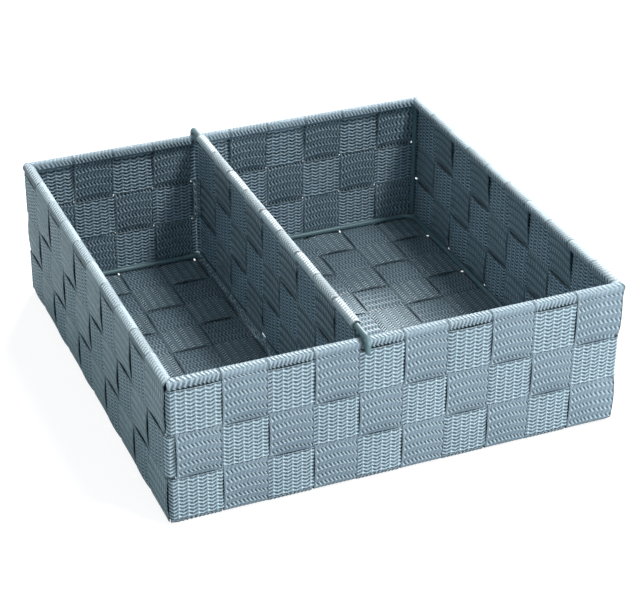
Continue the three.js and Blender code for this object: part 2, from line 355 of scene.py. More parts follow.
def read_sweep(tree):
    """What the path and the cut say about a point of the swept surface."""
    names = ("section", "upright", "hump", "rolled", "top_row")
    at = {name: stored(tree, f"path_{name}", "FLOAT") for name in names}
    at["middle"] = stored(tree, "path_middle", "FLOAT_VECTOR")
    at["along"] = stored(tree, "path_along", "FLOAT_VECTOR")
    at["ridge"] = stored(tree, "cut_ridge", "FLOAT")
    at["across"], at["height"], at["groove"] = separated(tree, stored(tree, "cut_shape", "FLOAT_VECTOR"))
    at["inner"] = at["height"].below(0.0)
    return at


print("a zigzag is", ZIGZAG_PERIOD / MM, "mm long, in", STEPS_PER_ZIGZAG, "steps")

# %% [markdown]
# Sliding the points of every second section left or right makes real zigzag ridges, with no texture at
# all. `Scallop` rounds the zigzag into arches, and `Lean` makes one flank of it shallower, as where the
# yarns turn away. `Cup` moves both edges of a hump outwards, or inwards when it is negative, and `Bow`
# curves the rows of an upright strap upwards in the middle. A little noise keeps the webbing from looking
# like a machine's drawing.

# %% The ridges and the bulge of the webbing
SWING_FADE = 1.9 * MM
GROOVE_AT_TURN = 0.4
INNER_LEAN_LOSS = 0.7
ROLL_RIDGE_LOSS = 0.35
DRIFT_SCALE = 28.0
OUTWARD_DRIFT = 0.5


def webbing_offsets(tree, given, at):
    """How far a point lies sideways, outwards and upwards of the middle of the path."""
    width = given["Width"]
    swing = 1 - at["section"].ping_pong(2)
    half_run = 1 - abs(swing)
    swing = swing - given["Scallop"] * half_run
    fade = ((width / 2 - abs(at["across"])) / SWING_FADE).at_most(1)
    sockets = {"Vector": at["middle"], "W": given["Seed"], "Scale": DRIFT_SCALE, "Detail": 1.0}
    drift = tree.add("ShaderNodeTexNoise", {"noise_dimensions": "4D"}, sockets)["Color"]
    drift_side, drift_out, _ = separated(tree, drift)

    sideways = at["across"] * (1 + at["rolled"] * given["End Spread"] / width)
    sideways = sideways + given["Zigzag Swing"] * swing * fade + (drift_side - 0.5) * given["Unevenness"]

    second_flank = ((at["section"] + 2 * at["inner"]) % STEPS_PER_ZIGZAG).below(1.5)
    lean = second_flank * half_run * given["Lean"] * (1 - INNER_LEAN_LOSS * at["inner"])
    depth = given["Ridge Height"] * (1 - ROLL_RIDGE_LOSS * at["rolled"])
    groove = at["groove"] * depth * (GROOVE_AT_TURN + (1 - GROOVE_AT_TURN) * half_run - lean)
    outwards = at["height"] - groove + (drift_out - 0.5) * given["Unevenness"] * OUTWARD_DRIFT

    to_edge = at["across"] / (width / 2)
    outwards = outwards + at["hump"] * (1 - at["rolled"]) * to_edge * to_edge * given["Cup"]
    upwards = given["Bow"] * (1 - to_edge * to_edge) * at["upright"] * (1 - at["rolled"])
    return sideways, outwards, upwards


print("ridges on each face:", RIDGES)

# %% [markdown]
# A strap beside a corner of the bin reaches further on that side in its top row, and where it bulges over
# the bottom band, so that it covers the corner. Its rolled end is cut on the slant there, and two such
# ends meet as a picture frame does. The mitre is how far a point may lie along the rim: as far as it lies
# out from the middle of the bin, and less at the very corner, which is round.

# %% The corners of the bin
LOW_ROW_FADE = (34 * MM, 38 * MM)
LOW_ROW_HUMP = (0.0, 0.4)
CORNER_TURN = 156.4 * MM
CORNER_ROUND = 4.05 * MM


def reach_to_corner(tree, given, at, place, sideways):
    """The sideways place of a point, once the strap reaches to the corner and keeps to its mitre."""
    corner = given["Corner Side"]
    low = 1 - separated(tree, at["middle"])[2].rise(*LOW_ROW_FADE)
    row = at["top_row"].at_least(at["hump"].rise(*LOW_ROW_HUMP) * low)
    near_corner = (at["across"] * corner / (given["Width"] / 2)).at_least(0)
    reach = row * given["Corner Edge"] * near_corner

    level = vector_math(tree, "MULTIPLY", place, (1.0, 1.0, 0.0))
    out = vector_math(tree, "LENGTH", vector_math(tree, "CROSS_PRODUCT", given["Side"], level))
    past_turn = (out - CORNER_TURN).at_least(0).at_most(CORNER_ROUND)
    rounded = CORNER_TURN + (CORNER_ROUND * CORNER_ROUND - past_turn * past_turn) ** 0.5
    # Only a rolled end at a corner is cut on the slant. Anywhere else the limit is a metre further out.
    mitre = out.at_most(rounded) + 1 - at["rolled"] * abs(corner)
    column = vector_math(tree, "DOT_PRODUCT", given["Side"], at["middle"])
    return (column + sideways + reach * corner).at_most(mitre).at_least(mitre * -1) - column


print("corners turn at", CORNER_TURN / MM, "mm from the middle")

# %% [markdown]
# The whole tree sweeps the cut, moves every point by its three offsets, and stores the map `weave`. Its
# first number counts zigzags along the strap and its second counts ridges across it. On the inner face 20
# is added to the second number, so that a material can tell the two faces apart.

# %% Geometry tree for webbing
INNER_FACE = 20


def webbing_tree():
    lengths = ("Width", "Thickness", "Selvedge", "Ridge Height", "Zigzag Swing", "Cup", "Bow", "Unevenness")
    lengths += ("End Spread", "Corner Edge")
    numbers = ("Scallop", "Lean", "Corner Side", "Seed")
    sockets = {label: "Float" for label in lengths + numbers}
    sockets |= {"Side": "Vector", "Material": "Material"}
    tree, identifiers = new_geometry_tree("woven webbing", sockets)
    given = tree.add("NodeGroupInput")
    path = smooth_path(tree, given["Geometry"], ZIGZAG_PERIOD / STEPS_PER_ZIGZAG)
    path = measure_path(tree, path, given["Side"])
    cut = webbing_cut(tree, given["Width"], given["Thickness"], given["Selvedge"])
    sockets = {"Curve": path, "Profile Curve": cut, "Fill Caps": True}
    sweep = tree.add("GeometryNodeCurveToMesh", None, sockets)[0]

    at = read_sweep(tree)
    sideways, outwards, upwards = webbing_offsets(tree, given, at)
    outward = vector_math(tree, "CROSS_PRODUCT", at["along"], given["Side"])
    place = vector_math(tree, "ADD", at["middle"], scaled(tree, outward, outwards))
    place = vector_math(tree, "ADD", place, combined(tree, 0.0, 0.0, upwards))
    sideways = reach_to_corner(tree, given, at, place, sideways)
    place = vector_math(tree, "ADD", place, scaled(tree, given["Side"], sideways))
    result = tree.add("GeometryNodeSetPosition", None, {"Geometry": sweep, "Position": place})[0]

    face_ridge = at["ridge"] + at["inner"] * INNER_FACE
    weave = combined(tree, at["section"] / STEPS_PER_ZIGZAG, face_ridge, 0.0)
    result = store(tree, result, "weave", "FLOAT2", "CORNER", weave)
    finish_tree(tree, result, given["Material"])
    return tree, identifiers


webbing, webbing_inputs = webbing_tree()
print("webbing tree:", len(webbing.blender_tree.nodes), "nodes")

# %% [markdown]
# Polypropylene webbing has a soft satin gloss. Its colour follows the `weave` map, so the pattern turns
# every corner with the strap. `roundness` is 1 on top of a ridge. `bridge` is 1 where the zigzag turns
# and a yarn crosses the groove. `turned_away` is the flank of the zigzag whose yarns don't catch the
# light, which is stronger on one face of the webbing than on the other.

# %% The herringbone in a material
INNER_FACE_START = INNER_FACE - 1


def new_material(name):
    material = bpy.data.materials.new(name)
    material.use_nodes = True
    material.node_tree.nodes.clear()
    return material, Tree(material.node_tree)


def mixed_colour(tree, factor, first, second):
    return tree.add("ShaderNodeMix", {"data_type": "RGBA"}, {"Factor": factor, "A": first, "B": second})[0]


def noise(tree, vector, scale, detail):
    sockets = {"Vector": vector, "Scale": scale, "Detail": detail, "Roughness": 0.6}
    return tree.add("ShaderNodeTexNoise", None, sockets)["Fac"]


def bumped(tree, height, strength, distance):
    sockets = {"Height": height, "Strength": strength, "Distance": distance}
    return tree.add("ShaderNodeBump", None, sockets)["Normal"]


def herringbone(tree, outer_lean, inner_lean):
    """The parts of the pattern at a point of the webbing."""
    zigzag, ridge, _ = separated(tree, tree.add("ShaderNodeUVMap", {"uv_map": "weave"})[0])
    swing = 1 - (zigzag * STEPS_PER_ZIGZAG).ping_pong(2)
    inner = 1 - ridge.below(INNER_FACE_START)
    lean = outer_lean + inner * (inner_lean - outer_lean)
    return {
        "zigzag": zigzag,
        "ridge": ridge,
        "inner": inner,
        "roundness": 0.5 - 0.5 * (ridge * (2 * math.pi)).cosine(),
        "bridge": swing.rise(0.3, 1.0) + 0.4 * (swing * -1).rise(0.5, 1.0),
        "turned_away": ((zigzag + inner / 2) % 1).below(0.5) * lean,
    }


print("herringbone is ready")

# %% [markdown]
# The grooves are painted dark as shade, because little light gets into them, and darker still on the
# inner face. Each stitch and each yarn differs a little in tone. The ridge crests get a painted highlight.
# Over the rim the webbing gets a painted highlight on the tops of the rolls: it is paler, with lighter
# grooves, and its ridges are flatter. The divider's foot gets pale specks of painted light, with painted
# shade between them. The bump adds the roundness of each ridge and the fine yarns on it.

# %% Material for webbing
GROOVE_COLOUR = (0.012, 0.04, 0.06, 1)
INNER_GROOVE_GAIN = 1.2
INNER_SHADOW = 0.45
RIM_HIGHLIGHT_LEVELS = (104.0 * MM, 107.5 * MM)
FOOT_GLINT_LEVELS = (9.0 * MM, 12.5 * MM)
YARNS_PER_ZIGZAG = 9
YARNS_PER_RIDGE = 3.2
GLINT_SPECK_SCALE = 600.0
WEBBING_BUMP = 1.1 * MM


def webbing_material(
    name, yarn_colour, bright_colour, groove_share=0.45, outer_lean=0.85, inner_lean=0.75, apex_share=0.0,
    foot_glint_share=0.0,
):
    """A finish for webbing. The shares and leans, 0 to 1, say how strong each part of the pattern and of its
    painted light and shade is.
    """
    material, tree = new_material(name)
    place = tree.add("ShaderNodeTexCoord")["Object"]
    level = separated(tree, place)[2]
    pattern = herringbone(tree, outer_lean, inner_lean)
    zigzag, ridge, inner = pattern["zigzag"], pattern["ridge"], pattern["inner"]
    roundness, bridge, turned_away = pattern["roundness"], pattern["bridge"], pattern["turned_away"]

    stitch = combined(tree, (zigzag * 2).whole(), (ridge + 0.5).whole(), 0.0)
    chance = tree.add("ShaderNodeTexWhiteNoise", {"noise_dimensions": "2D"}, {"Vector": stitch})["Value"]
    yarn = noise(tree, combined(tree, zigzag * YARNS_PER_ZIGZAG, ridge * YARNS_PER_RIDGE, 0.0), 2.2, 2.0)
    tone = noise(tree, place, 22.0, 2.0)
    # Painted highlight on the tops of the rolls over the wires: paler webbing with lighter grooves there.
    rim_highlight = level.rise(*RIM_HIGHLIGHT_LEVELS)
    # Painted light on the divider's foot: pale specks, with painted shade between them.
    foot_glint = (1 - level.rise(*FOOT_GLINT_LEVELS)) * foot_glint_share
    glint_speck = noise(tree, place, GLINT_SPECK_SCALE, 1.0).rise(0.5, 0.6)

    # Painted highlight on the ridge crests, left off the flank of the zigzag that turns away from the light.
    crest_highlight = roundness.rise(0.2, 0.9) * (1 - turned_away) * (1 - apex_share * (1 - bridge))
    bright = crest_highlight * (1.1 + inner * (0.6 - inner_lean)) + yarn * 0.5 + tone * 0.5 - 0.5
    bright = bright + rim_highlight * 0.45 + foot_glint * (glint_speck * 2 - 0.5)
    # Painted shade in the grooves, deeper on the inner face.
    groove = (1 - roundness).rise(0.35, 0.8) * (1 - bridge) * (1 - turned_away)
    groove = groove * (1 + INNER_GROOVE_GAIN * inner).at_most(1 / groove_share) * groove_share
    groove = groove * (0.7 + 0.3 * chance) * (1 - 0.5 * rim_highlight)
    dark = groove.at_least(turned_away * inner * INNER_SHADOW) * (1 - foot_glint * glint_speck)
    colour = mixed_colour(tree, dark, mixed_colour(tree, bright, yarn_colour, bright_colour), GROOVE_COLOUR)

    height = roundness * (1 - 0.5 * bridge) * (1 - 0.6 * turned_away) * (1 - 0.4 * rim_highlight) + 0.3 * yarn
    shader = tree.add("ShaderNodeBsdfPrincipled", None, {
        "Base Color": colour,
        "Roughness": 0.48 - 0.14 * yarn,
        "Specular IOR Level": 0.5,
        "Normal": bumped(tree, height, 1.0, WEBBING_BUMP),
    })[0]
    tree.add("ShaderNodeOutputMaterial", None, {"Surface": shader})
    return material


print("groove colour:", GROOVE_COLOUR[:3])

# %% [markdown]
# The webbing looks the same all over, but the two families of straps, the divider's straps and the bands
# catch the light differently. So there are four finishes, lit and shaded copies of one webbing, each with
# its own colours, painted lighter or darker, and its own strength of grooves, flanks and turns. The wire's
# coating is a smooth dark teal plastic with a faint mottle.

# %% Finishes of the bin
WIRE_BUMP = 0.1 * MM


def wire_material(name, colour, worn_colour):
    material, tree = new_material(name)
    mottle = noise(tree, tree.add("ShaderNodeTexCoord")["Object"], 90.0, 3.0)
    shader = tree.add("ShaderNodeBsdfPrincipled", None, {
        "Base Color": mixed_colour(tree, mottle, colour, worn_colour),
        "Roughness": 0.3 + 0.15 * mottle,
        "Normal": bumped(tree, mottle, 0.25, WIRE_BUMP),
    })[0]
    tree.add("ShaderNodeOutputMaterial", None, {"Surface": shader})
    return material


strap_finish = webbing_material(
    "slate strap webbing", (0.19, 0.27, 0.335, 1), (0.43, 0.57, 0.65, 1), inner_lean=0.4
)
cross_finish = webbing_material("slate cross strap webbing", (0.22, 0.325, 0.385, 1), (0.7, 0.85, 0.92, 1))
divider_finish = webbing_material(
    "slate divider webbing", (0.15, 0.235, 0.29, 1), (0.85, 0.96, 1.0, 1), foot_glint_share=1.0
)
band_finish = webbing_material(
    "slate band webbing", (0.28, 0.41, 0.49, 1), (0.58, 0.75, 0.85, 1),
    groove_share=0.82, outer_lean=0.0, inner_lean=0.0, apex_share=0.45,
)
wire_finish = wire_material("coated wire", (0.1, 0.185, 0.21, 1), (0.14, 0.24, 0.265, 1))
print("materials:", [m.name for m in (strap_finish, cross_finish, divider_finish, band_finish, wire_finish)])

# %% [markdown]
# The sizes of the paths are in millimetres. The first ones are sizes of the CAD model, and the next ones
# follow from them: a strap lies one layer above or below the middle of the weave, and bends round a wire
# with a little room to it. The last ones are what is seen. There the webbing is slightly wider than in
# the CAD, because its edges touch.

# %% Sizes of the weave
WEBBING_THICKNESS = 1.1
CLEARANCE = 0.3
WIRE_RADIUS = 2.0
STRAPS = 10
CAD_STRAP_WIDTH = 29.0
STRAP_PITCH = 30.8

LAYER = (WEBBING_THICKNESS + CLEARANCE) / 2
FLOOR_MIDDLE = LAYER + WEBBING_THICKNESS / 2
BEND_RADIUS = WIRE_RADIUS + CLEARANCE + FLOOR_MIDDLE
RING_HEIGHT = FLOOR_MIDDLE + BEND_RADIUS
POST_HALF = ((STRAPS - 1) * STRAP_PITCH + CAD_STRAP_WIDTH) / 2 + CLEARANCE + WIRE_RADIUS
WALL_HALF = POST_HALF + BEND_RADIUS

STRAP_WIDTH = 30.1
BAND_WIDTHS = (32.2, 31.2, 31.2)
BAND_HEIGHTS = (84.8, 52.3, 20.3)
ROW_EDGES = (100.4, 68.3, 36.3, 5.0)
ROWS = (1, 2, 3)
print("wall", round(WALL_HALF, 2), "mm and posts", round(POST_HALF, 2), "mm from the middle")

# %% [markdown]
# Every path is a list of a few points in a plane. Where a strap passes over the piece that crosses it, it
# bulges, and in the gap to the next crossing it dives to the other side. A helper makes the points of one
# bulge, as shares of the crossing's length and of the bulge's height, and another makes the points of a
# wrap round a wire.

# %% Helpers for paths
STRAP_BULGE_OUT = 1.9
STRAP_BULGE_IN = 1.4
FLOOR_BULGE = 1.5
BAND_BULGE_OUT = 1.0
BAND_BULGE_IN = 1.5
DIVE = 0.35
BULGE_SHAPE = ((0.08, 0.45), (0.25, 0.8), (0.5, 1.0), (0.75, 0.8), (0.92, 0.45))
FLAT_SHAPE = ((0.12, 0.8), (0.3, 1.0), (0.5, 1.0), (0.7, 1.0), (0.88, 0.8))


def is_odd(count):
    return count % 2 == 1


def strap_place(count):
    return (count - (STRAPS + 1) / 2) * STRAP_PITCH


def between(start, end, share):
    return start + (end - start) * share


def turned(centre, radius, angle):
    """The point at one radius and angle, in degrees, from a centre."""
    angle = math.radians(angle)
    return (centre[0] + radius * math.cos(angle), centre[1] + radius * math.sin(angle))


def wrap(centre, radius, first_angle, last_angle, steps=7):
    """Points of an arc round a wire, in equal steps."""
    angles = [between(first_angle, last_angle, step / steps) for step in range(steps + 1)]
    return [turned(centre, radius, angle) for angle in angles]


def bulge(start, end, height, shape):
    """Distances along one crossing, each with its height off the middle plane."""
    return [(between(start, end, share), height * part) for share, part in shape]


print("webbing columns at", [round(strap_place(count), 1) for count in range(1, STRAPS + 1)])

# %% [markdown]
# A standing strap starts rolled round the rim wire, comes down the wall over or under the three bands,
# turns in round the floor ring, crosses the floor, and does the same on the far wall. One function gives
# half of that for the wall. A strap that is outside the top band rolls inwards over the rim, and one that
# is inside it rolls outwards and comes down behind the roll.

# %% A strap on the wall
ROLL_PLACE = 156.4
ROLL_HEIGHT = 103.95
ROLL_RADIUS = 3.5
OUTSIDE_ROLL_ANGLES = (245, 0)
OUTSIDE_ROLL_END = (159.85, 100.3)
INSIDE_ROLL_ANGLES = (-65, 205)
INSIDE_ROLL_END = ((154.6, 100.2), (156.3, 96.6), (157.2, 92.6))
RING_TURN_SHARES = (0, 1 / 3, 2 / 3, 1)


def wall_part(is_outside, is_on_top):
    """Distance from the middle and height of a strap's points, from its rolled end to the floor."""
    roll = (ROLL_PLACE, ROLL_HEIGHT)
    if is_outside(1):
        points = [*wrap(roll, ROLL_RADIUS, *OUTSIDE_ROLL_ANGLES), OUTSIDE_ROLL_END]
        top_shape = BULGE_SHAPE[1:]
    else:
        points = [*wrap(roll, ROLL_RADIUS, *INSIDE_ROLL_ANGLES, 8), *INSIDE_ROLL_END]
        top_shape = BULGE_SHAPE[2:]
    for row in ROWS:
        height = STRAP_BULGE_OUT if is_outside(row) else -STRAP_BULGE_IN
        shape = top_shape if row == ROWS[0] else BULGE_SHAPE
        for level, lift in bulge(ROW_EDGES[row - 1], ROW_EDGES[row], height, shape):
            points.append((WALL_HALF + lift, level))
        if row < ROWS[-1]:
            points.append((WALL_HALF + (-DIVE if is_outside(row) else DIVE), ROW_EDGES[row]))
    first_lift = LAYER if is_outside(ROWS[-1]) else -LAYER
    last_lift = -LAYER if is_on_top else LAYER
    for share in RING_TURN_SHARES:
        radius = BEND_RADIUS + between(first_lift, last_lift, share)
        points.append(turned((POST_HALF, RING_HEIGHT), radius, -90 * share))
    return points


print("points on one wall:", len(wall_part(is_odd, True)))

# %% [markdown]
# The whole strap is the wall, the floor, and the other wall in reverse. Which of two straps is on top
# follows from plain weave: the sum of their numbers is odd for one answer and even for the other.

# %% Paths of the standing straps


def floor_part(is_on_top):
    """The points of a strap across the floor, from the negative side to the positive one."""
    points = []
    for count in range(1, STRAPS + 1):
        start = strap_place(count) - STRAP_PITCH / 2
        end = strap_place(count) + STRAP_PITCH / 2
        if is_on_top(count):
            crossing = bulge(start, end, FLOOR_BULGE, BULGE_SHAPE)
        else:
            crossing = bulge(start, end, -LAYER, FLAT_SHAPE)
        if count > 1:
            points.append((start, FLOOR_MIDDLE))
        points += [(place, FLOOR_MIDDLE + lift) for place, lift in crossing]
    return points


def standing_strap(negative_outside, positive_outside, is_on_top):
    negative = [(-place, level) for place, level in wall_part(negative_outside, is_on_top(1))]
    positive = wall_part(positive_outside, is_on_top(STRAPS))
    return negative + floor_part(is_on_top) + positive[::-1]


def corner_side(column):
    """Which edge of a strap faces a corner of the bin: -1, 1, or 0 for neither."""
    return {1: -1, STRAPS: 1}.get(column, 0)


strap_paths = {}
for column in range(1, STRAPS + 1):
    path = standing_strap(
        lambda row: is_odd(column + row),
        lambda row: not is_odd(column + row),
        lambda count: is_odd(column + count),
    )
    points = [(strap_place(column), place, level) for place, level in path]
    strap_paths[f"strap_front_back_{column:02d}"] = (points, (1, 0, 0), corner_side(column))
    path = standing_strap(
        lambda row: not is_odd(column + row),
        lambda row: is_odd(column + row),
        lambda count: not is_odd(column + count),
    )
    points = [(place, strap_place(column), level) for place, level in path]
    strap_paths[f"strap_left_right_{column:02d}"] = (points, (0, -1, 0), -corner_side(column))
print(len(strap_paths), "standing straps, each with about", len(points), "path points")

# %% [markdown]
# A band goes once round the four walls and bends round the corner posts. Its two ends meet behind a strap
# of the front wall, where the join is out of sight.

# %% Paths of the wall bands
JOIN_CROSSING = {1: 4, 2: 5, 3: 4}
POST_TURN_SHARES = (0, 1 / 4, 1 / 2, 3 / 4, 1)


def on_wall(along, outward, place, distance):
    """The point at a place along a wall and a distance out from the middle, seen from above."""
    return (along[0] * place + outward[0] * distance, along[1] * place + outward[1] * distance)


def band_path(row):
    """Places round the walls, seen from above, from the join to the join."""
    points = []
    join = None
    for wall in range(4):
        turn = 90 * wall
        along = (math.cos(math.radians(turn)), math.sin(math.radians(turn)))
        outward = (along[1], -along[0])
        for column in range(1, STRAPS + 1):
            crossing = wall * STRAPS + column
            height = -BAND_BULGE_IN if is_odd(crossing + row) else BAND_BULGE_OUT
            start = strap_place(column) - STRAP_PITCH / 2
            if column > 1:
                points.append(on_wall(along, outward, start, WALL_HALF))
            for place, lift in bulge(start, start + STRAP_PITCH, height, BULGE_SHAPE):
                points.append(on_wall(along, outward, place, WALL_HALF + lift))
            if crossing == JOIN_CROSSING[row]:
                join = len(points) - 3
        post = on_wall(along, outward, POST_HALF, POST_HALF)
        last_lift = -LAYER if is_odd(wall * STRAPS + STRAPS + row) else LAYER
        for share in POST_TURN_SHARES:
            radius = BEND_RADIUS + between(last_lift, -last_lift, share)
            points.append(turned(post, radius, turn - 90 + 90 * share))
    return points[join:] + points[: join + 1]


band_paths = {}
for row, name in zip(ROWS, ("wall_band_top", "wall_band_middle", "wall_band_bottom")):
    points = [(x, y, BAND_HEIGHTS[row - 1]) for x, y in band_path(row)]
    band_paths[name] = (points, (0, 0, 1))
print(len(band_paths), "wall bands, each with", len(points), "path points")

# %% [markdown]
# The divider is a flat panel of nine upright straps and three bands on its own two wires. Its straps are
# rolled round the top wire and round the bottom of the lower wire, and its bands round the lower wire's
# sides.

# %% Sizes of the divider
DIVIDER_X = -27.0
DIVIDER_STRAPS = 9
DIVIDER_TOP = 110.3
DIVIDER_BOTTOM = 8.7
DIVIDER_SIDE = 148.4
DIVIDER_PITCH = 32.175
DIVIDER_STRAP_WIDTH = 31.4
DIVIDER_BAND_WIDTH = 30.2
DIVIDER_BAND_HEIGHTS = (90.5, 59.5, 28.5)
DIVIDER_ROW_EDGES = (105.1, 75.0, 44.0, 13.9)
DIVIDER_ROLL = 2.95
DIVIDER_BULGE = 1.25


def divider_place(column):
    return (DIVIDER_STRAPS + 1 - 2 * column) / 2 * DIVIDER_PITCH


print("divider columns at", [round(divider_place(column), 1) for column in range(1, DIVIDER_STRAPS + 1)])

# %% [markdown]
# Each end of a piece of the divider's webbing is rolled three quarters round its wire. It comes off the
# wire on the side where its first crossing bulges, so the roll turns the other way for the other side.

# %% Paths of the divider's webbing
FIRST_ROLL_ANGLES = {True: (115, 360), False: (65, -180)}
LAST_ROLL_ANGLES = {True: (0, 245), False: (180, -65)}


def panel_path(first_wire, last_wire, crossings):
    """Sideways and forward places of webbing that runs from one wire to another, rolled round both."""
    first_angles = FIRST_ROLL_ANGLES[crossings[0][2] > 0]
    last_angles = LAST_ROLL_ANGLES[crossings[-1][2] > 0]
    points = wrap((0, first_wire), DIVIDER_ROLL, *first_angles)
    for number, (start, end, height) in enumerate(crossings):
        if number:
            points.append((0, start))
        points += [(lift, place) for place, lift in bulge(start, end, height, BULGE_SHAPE)]
    return points + wrap((0, last_wire), DIVIDER_ROLL, *last_angles)


divider_paths = {}
for column in range(1, DIVIDER_STRAPS + 1):
    crossings = []
    for row in reversed(ROWS):
        height = -DIVIDER_BULGE if is_odd(column + row) else DIVIDER_BULGE
        crossings.append((DIVIDER_ROW_EDGES[row], DIVIDER_ROW_EDGES[row - 1], height))
    path = panel_path(DIVIDER_BOTTOM, DIVIDER_TOP, crossings)
    points = [(DIVIDER_X + side, divider_place(column), level) for side, level in path]
    divider_paths[f"divider_strap_{column}"] = (points, (0, -1, 0))
for row, name in zip(ROWS, ("divider_band_top", "divider_band_middle", "divider_band_bottom")):
    crossings = []
    for column in range(DIVIDER_STRAPS, 0, -1):
        height = DIVIDER_BULGE if is_odd(column + row) else -DIVIDER_BULGE
        place = divider_place(column)
        crossings.append((place - DIVIDER_PITCH / 2, place + DIVIDER_PITCH / 2, height))
    path = panel_path(-DIVIDER_SIDE, DIVIDER_SIDE, crossings)
    points = [(DIVIDER_X + side, place, DIVIDER_BAND_HEIGHTS[row - 1]) for side, place in path]
    divider_paths[name] = (points, (0, 0, 1))
print(len(divider_paths), "pieces of webbing in the divider")

# %% [markdown]
# Now each path becomes a piece. The path is a mesh of loose edges with a tree as its modifier. The
# evaluated result is copied to a plain mesh, and the modifier goes away with the path. The attributes
# that only helped the sweep are removed.

# %% From a path to a plain mesh
HELPERS = ("path_", "cut_")


def grown(tree, identifiers, name, points, values, closed=False):
    """A plain mesh object, made by a geometry tree from a path in millimetres."""
    path = bpy.data.meshes.new(f"{name}_path")
    edges = [(place, place + 1) for place in range(len(points) - 1)]
    if closed:
        edges.append((len(points) - 1, 0))
    path.from_pydata([Vector(point) * MM for point in points], edges, [])
    holder = bpy.data.objects.new(f"{name}_path", path)
    bpy.context.scene.collection.objects.link(holder)
    modifier = holder.modifiers.new("shape", "NODES")
    modifier.node_group = tree.blender_tree
    for label, value in values.items():
        modifier[identifiers[label]] = value
    depsgraph = bpy.context.evaluated_depsgraph_get()
    mesh = bpy.data.meshes.new_from_object(holder.evaluated_get(depsgraph))
    for helper in [a.name for a in mesh.attributes if a.name.startswith(HELPERS)]:
        mesh.attributes.remove(mesh.attributes[helper])
    bpy.data.objects.remove(holder)
    piece = bpy.data.objects.new(name, mesh)
    bpy.context.scene.collection.objects.link(piece)
    return piece


print("helper attributes begin with", HELPERS)

# %% [markdown]
# Straps and bands differ a little in shape. The seed of a piece follows from where its path starts, so
# each piece drifts in its own way, and always in the same. Every piece rides on its body, replaces the
# CAD node that it dresses, and gets its finish.

# %% Make the webbing
STRAP_SHAPE = {
    "Selvedge": 0.4 * MM,
    "Zigzag Swing": 0.95 * MM,
    "Scallop": 0.0,
    "Lean": 0.8,
    "Cup": -0.4 * MM,
    "Bow": 1.8 * MM,
}
BAND_SHAPE = {
    "Selvedge": 0.8 * MM,
    "Zigzag Swing": 0.65 * MM,
    "Scallop": 0.3,
    "Lean": 0.0,
    "Cup": 0.0,
    "Bow": 0.0,
}
RIDGE_HEIGHT = 0.5 * MM
UNEVENNESS = 0.5 * MM
STRAP_END_SPREAD = 0.5 * MM
CORNER_EDGE = 4.3 * MM
SEED_STEP = 0.37


def make_webbing(node, points, side, width, shape, finish, body, end_spread=0.0, corner=0):
    piece = grown(webbing, webbing_inputs, f"woven_{node}", points, shape | {
        "Width": width * MM,
        "Thickness": WEBBING_THICKNESS * MM,
        "Ridge Height": RIDGE_HEIGHT,
        "Unevenness": UNEVENNESS,
        "End Spread": end_spread,
        "Corner Side": float(corner),
        "Corner Edge": CORNER_EDGE,
        "Side": side,
        "Seed": SEED_STEP * sum(points[0]),
        "Material": finish,
    })
    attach(piece, body)
    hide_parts(node)
    return sum(len(polygon.vertices) - 2 for polygon in piece.data.polygons)


total = 0
for node, (points, side, corner) in strap_paths.items():
    finish = cross_finish if "left_right" in node else strap_finish
    total += make_webbing(
        node, points, side, STRAP_WIDTH, STRAP_SHAPE, finish, "basket",
        end_spread=STRAP_END_SPREAD, corner=corner,
    )
for width, (node, (points, side)) in zip(BAND_WIDTHS, band_paths.items()):
    total += make_webbing(node, points, side, width, BAND_SHAPE, band_finish, "basket")
for node, (points, side) in divider_paths.items():
    if "strap" in node:
        width, shape, finish = DIVIDER_STRAP_WIDTH, STRAP_SHAPE, divider_finish
    else:
        width, shape, finish = DIVIDER_BAND_WIDTH, BAND_SHAPE, band_finish
    total += make_webbing(node, points, side, width, shape, finish, "divider")
print("webbing triangles:", total)

# %% [markdown]
# The frame is steel wire with a smooth plastic coating. A second tree sweeps a circle along a path and
# rounds off the free ends, as the coating does: near an end the circle shrinks along a quarter of a
# circle.

# %% Geometry tree for wire
WIRE_POINTS = 20
WIRE_STEP = 1.2
END_START = 0.05


def wire_tree():
    sockets = {"Radius": "Float", "Step": "Float", "Rounded Ends": "Float", "Material": "Material"}
    tree, identifiers = new_geometry_tree("coated wire", sockets)
    given = tree.add("NodeGroupInput")
    path = smooth_path(tree, given["Geometry"], given["Step"])
    parameter = tree.add("GeometryNodeSplineParameter")
    length = tree.add("GeometryNodeSplineLength")["Length"]
    from_end = parameter["Length"].at_most(length - parameter["Length"])
    share = (from_end / given["Radius"] + (1 - given["Rounded Ends"]) + END_START).at_most(1)
    size = (1 - (1 - share) ** 2) ** 0.5 * given["Radius"]
    sockets = {"Resolution": WIRE_POINTS, "Radius": 1.0}
    circle = tree.add("GeometryNodeCurvePrimitiveCircle", {"mode": "RADIUS"}, sockets)[0]
    sockets = {"Curve": path, "Profile Curve": circle, "Scale": size, "Fill Caps": True}
    result = tree.add("GeometryNodeCurveToMesh", None, sockets)[0]
    finish_tree(tree, result, given["Material"])
    return tree, identifiers


def make_wire(node, points, body, closed=False):
    piece = grown(wire, wire_inputs, f"round_{node}", points, {
        "Radius": WIRE_RADIUS * MM,
        "Step": WIRE_STEP * MM,
        "Rounded Ends": 0.0 if closed else 1.0,
        "Material": wire_finish,
    }, closed)
    piece.data.shade_smooth()
    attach(piece, body)
    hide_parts(node)


wire, wire_inputs = wire_tree()
print("wire tree:", len(wire.blender_tree.nodes), "nodes")

# %% [markdown]
# The rim wire and the floor ring are closed squares with round corners, and four posts stand between
# them. The rim wire hardly shows inside its roll, but the floor ring does, where wall and floor meet.

